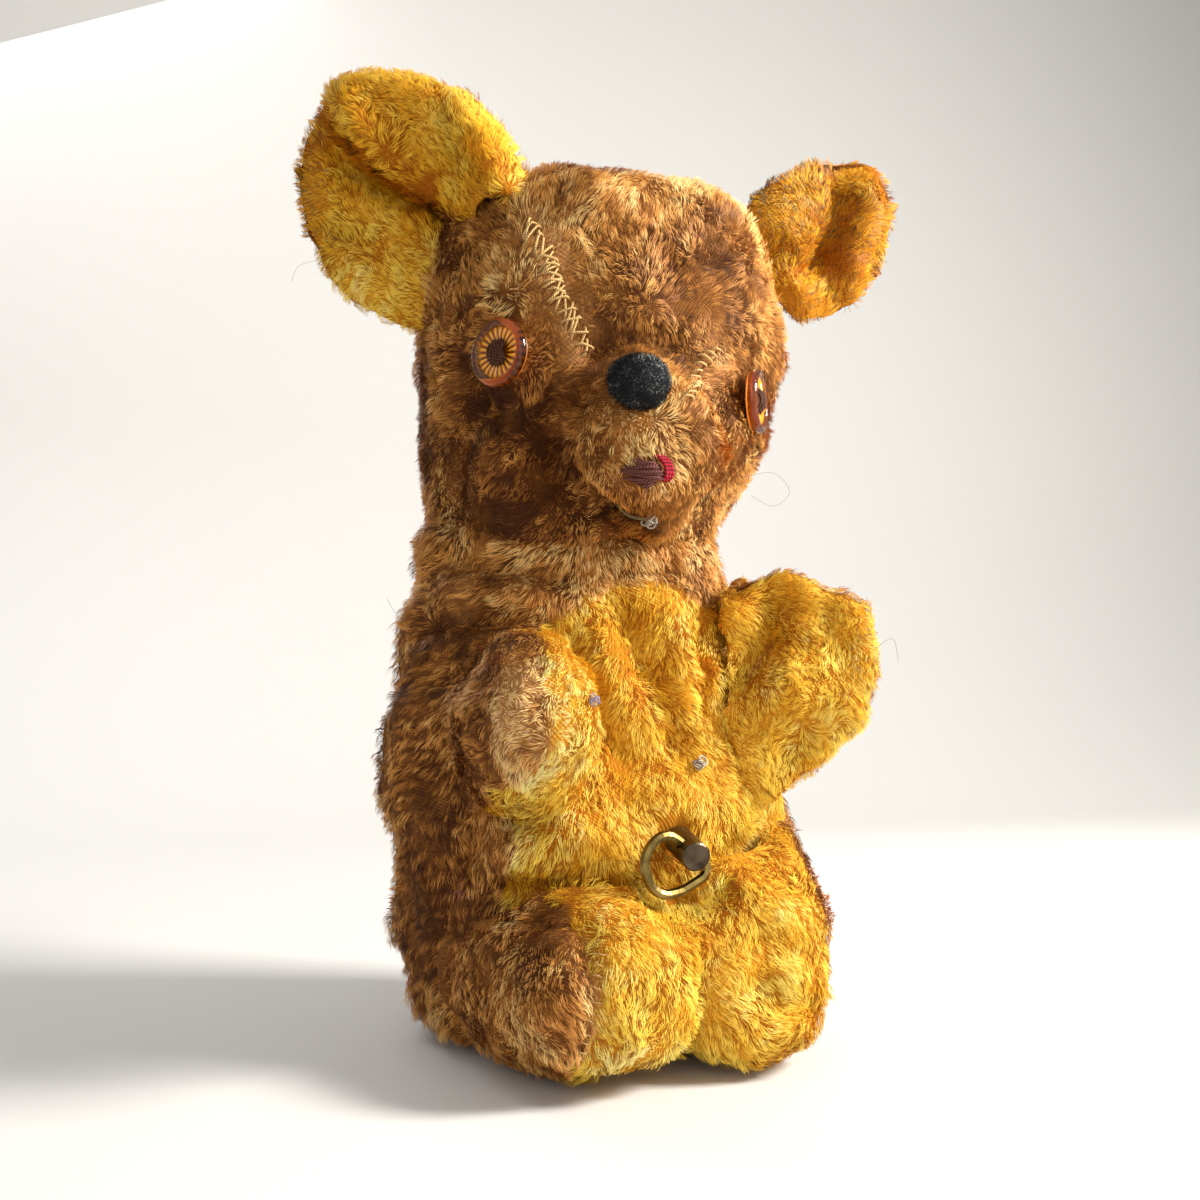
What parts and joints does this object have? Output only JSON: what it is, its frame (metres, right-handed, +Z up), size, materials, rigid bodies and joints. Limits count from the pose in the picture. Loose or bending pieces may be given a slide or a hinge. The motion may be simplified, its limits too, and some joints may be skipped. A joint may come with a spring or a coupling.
{
  "type": "wind-up musical teddy bear",
  "caption": "Sitting, threadbare stuffed bear with round ears, button eyes and short arms and legs, and a wind-up musical movement with its winding key in the belly.",
  "frame": {"origin": "on the surface that the bear sits on, in the flat underside of the torso", "axes": "+Z up; the bear faces -Y; its own right arm and leg are at -X and its left ones at +X"},
  "size_m": [0.1985, 0.1353, 0.2816],
  "materials": {
    "plush_gold": "worn short plush, golden yellow, matted, with a soft sheen",
    "plush_brown": "worn short plush, chestnut brown with golden-tan tips, threadbare in places",
    "amber_button": "see-through amber, fluted, glossy with fine scratches",
    "dark_thread": "matt twisted thread",
    "black_felt": "matt felt, worn grey at the top",
    "maroon_thread": "matt embroidery thread, faded",
    "red_thread": "matt crimson thread",
    "gunmetal": "dark tarnished turned metal with a worn bright rim",
    "aged_brass": "dull wire with brighter rubbed outer sides",
    "tinplate": "satin tinned sheet",
    "bright_brass": "satin",
    "steel": "satin"
  },
  "bodies": {
    "bear": {"torso": "plush_gold", "head": "plush_brown", "ear_right": "plush_gold", "ear_left": "plush_gold", "arm_right": "plush_brown", "arm_left": "plush_gold", "leg_right": "plush_brown", "leg_left": "plush_gold", "eye_button_right": "amber_button", "eye_button_left": "amber_button", "eye_thread_right": "dark_thread", "eye_thread_left": "dark_thread", "nose": "black_felt", "mouth_stitches": "maroon_thread", "mouth_red_thread": "red_thread", "movement_can": "tinplate", "movement_lid": "tinplate", "case_screw_1": "steel", "case_screw_2": "steel", "case_screw_3": "steel", "front_plate": "bright_brass", "rear_plate": "bright_brass", "pillar_1": "bright_brass", "pillar_2": "bright_brass", "pillar_3": "bright_brass", "spring_barrel": "bright_brass", "mainspring": "steel", "governor_bracket": "bright_brass", "comb": "steel", "comb_block": "bright_brass", "comb_screw_1": "steel", "comb_screw_2": "steel"},
    "key": {"key_post": "gunmetal", "winding_arbor": "steel", "great_wheel": "bright_brass"},
    "loop": {"key_loop": "aged_brass"},
    "cylinder": {"cylinder_shaft": "steel", "cylinder_pinion": "steel", "worm_wheel": "bright_brass", "music_cylinder": "bright_brass"},
    "governor": {"governor_worm": "steel"}
  },
  "joints": [
    {"name": "key_spin", "type": "hinge", "parent": "bear", "child": "key", "pos_m": [0.0038, -0.0529, 0.0593], "axis": [0, -0.9703, -0.2419], "continuous": true},
    {"name": "loop_swing", "type": "hinge", "parent": "key", "child": "loop", "pos_m": [0.0038, -0.06144, 0.05717], "axis": [-0.766, -0.1555, 0.6237], "range_deg": [-40, 180]},
    {"name": "cylinder_spin", "type": "hinge", "parent": "bear", "child": "cylinder", "pos_m": [0.0038, -0.05682, 0.07502], "axis": [0, -0.9703, -0.2419], "continuous": true},
    {"name": "governor_spin", "type": "hinge", "parent": "bear", "child": "governor", "pos_m": [-0.0023, -0.03227, 0.08114], "axis": [0, -0.2419, 0.9703], "continuous": true}
  ],
  "couplings": [
    {"joint": "cylinder_spin", "follows": "key_spin", "ratio": -5},
    {"joint": "governor_spin", "follows": "key_spin", "ratio": -120}
  ]
}
